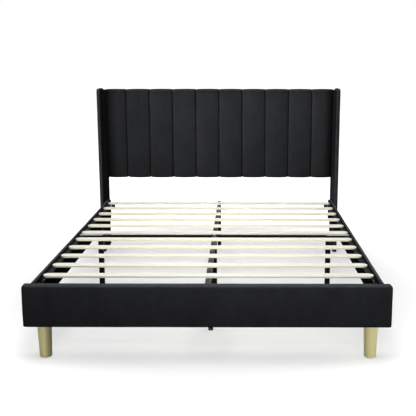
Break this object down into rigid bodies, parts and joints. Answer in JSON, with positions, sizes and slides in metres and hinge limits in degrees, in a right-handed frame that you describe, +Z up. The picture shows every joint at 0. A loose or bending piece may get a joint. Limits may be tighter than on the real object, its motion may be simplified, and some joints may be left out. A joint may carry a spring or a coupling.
{
  "type": "upholstered bed frame",
  "caption": "Low upholstered bed frame: channelled headboard between wings, padded rails and footboard on turned legs, wooden slats on a steel crossbar and centre beams.",
  "frame": {"origin": "on the floor under the centre of the whole bed, midway between the footboard's face and the headboard's back", "axes": "+Z up, +Y from the footboard to the headboard, +X to the right seen from the foot"},
  "size_m": [1.648, 2.19, 1.13],
  "materials": {
    "backing_cloth": "plain matt dust cloth",
    "black_plastic": "moulded, matt",
    "black_steel": "black powder coat, satin",
    "leg_wood": "turned light wood, satin lacquer",
    "plywood": "raw plywood",
    "slat_wood": "planed pale wood, satin",
    "timber": "sawn softwood",
    "velvet": "velvet with a short pile, soft sheen",
    "zinc_steel": "bright zinc plate"
  },
  "bodies": {
    "frame": {"beam_end_cap": "black_plastic", "beam_hangers": "black_steel", "centre_crossbar_leg": "black_steel", "corner_block_screws": "zinc_steel", "corner_blocks": "timber", "crossbar": "black_steel", "crossbar_plates": "zinc_steel", "deck_screws": "zinc_steel", "foot_bracket_bolts": "zinc_steel", "footboard_board": "plywood", "footboard_cover": "velvet", "front_beam": "black_steel", "front_beam_leg": "black_steel", "front_leg_glides": "black_plastic", "head_bracket_bolts": "zinc_steel", "headboard_back_cover": "backing_cloth", "headboard_battens": "timber", "headboard_board": "plywood", "headboard_channel_pad": "velvet", "joining_plate_screws": "zinc_steel", "joining_plates": "zinc_steel", "left_crossbar_leg": "black_steel", "left_front_leg": "leg_wood", "left_rail_cover": "velvet", "left_slat_ledge": "black_steel", "left_wing_cover": "velvet", "leg_bolts": "zinc_steel", "leg_end_plugs": "black_plastic", "leg_hanger_bolts": "zinc_steel", "leg_mounting_plates": "zinc_steel", "leg_plate_screws": "zinc_steel", "rail_boards": "plywood", "rail_foot_brackets": "black_steel", "rail_head_brackets": "black_steel", "rear_beam": "black_steel", "rear_beam_leg": "black_steel", "right_crossbar_leg": "black_steel", "right_front_leg": "leg_wood", "right_rail_cover": "velvet", "right_slat_ledge": "black_steel", "right_wing_cover": "velvet", "slat_01": "slat_wood", "slat_02": "slat_wood", "slat_03": "slat_wood", "slat_04": "slat_wood", "slat_05": "slat_wood", "slat_06": "slat_wood", "slat_07": "slat_wood", "slat_08": "slat_wood", "slat_09": "slat_wood", "slat_10": "slat_wood", "slat_11": "slat_wood", "wing_boards": "plywood", "wing_glides": "black_plastic"},
    "centre_crossbar_levelling_foot": {"centre_crossbar_levelling_foot": "black_plastic"},
    "front_beam_levelling_foot": {"front_beam_levelling_foot": "black_plastic"},
    "left_crossbar_levelling_foot": {"left_crossbar_levelling_foot": "black_plastic"},
    "rear_beam_levelling_foot": {"rear_beam_levelling_foot": "black_plastic"},
    "right_crossbar_levelling_foot": {"right_crossbar_levelling_foot": "black_plastic"}
  },
  "joints": [
    {"name": "centre_crossbar_foot_height", "type": "slide", "parent": "frame", "child": "centre_crossbar_levelling_foot", "axis": [0, 0, -1], "range_m": [-0.0035, 0.012]},
    {"name": "front_beam_foot_height", "type": "slide", "parent": "frame", "child": "front_beam_levelling_foot", "axis": [0, 0, -1], "range_m": [-0.0035, 0.012]},
    {"name": "left_crossbar_foot_height", "type": "slide", "parent": "frame", "child": "left_crossbar_levelling_foot", "axis": [0, 0, -1], "range_m": [-0.0035, 0.012]},
    {"name": "rear_beam_foot_height", "type": "slide", "parent": "frame", "child": "rear_beam_levelling_foot", "axis": [0, 0, -1], "range_m": [-0.0035, 0.012]},
    {"name": "right_crossbar_foot_height", "type": "slide", "parent": "frame", "child": "right_crossbar_levelling_foot", "axis": [0, 0, -1], "range_m": [-0.0035, 0.012]}
  ]
}
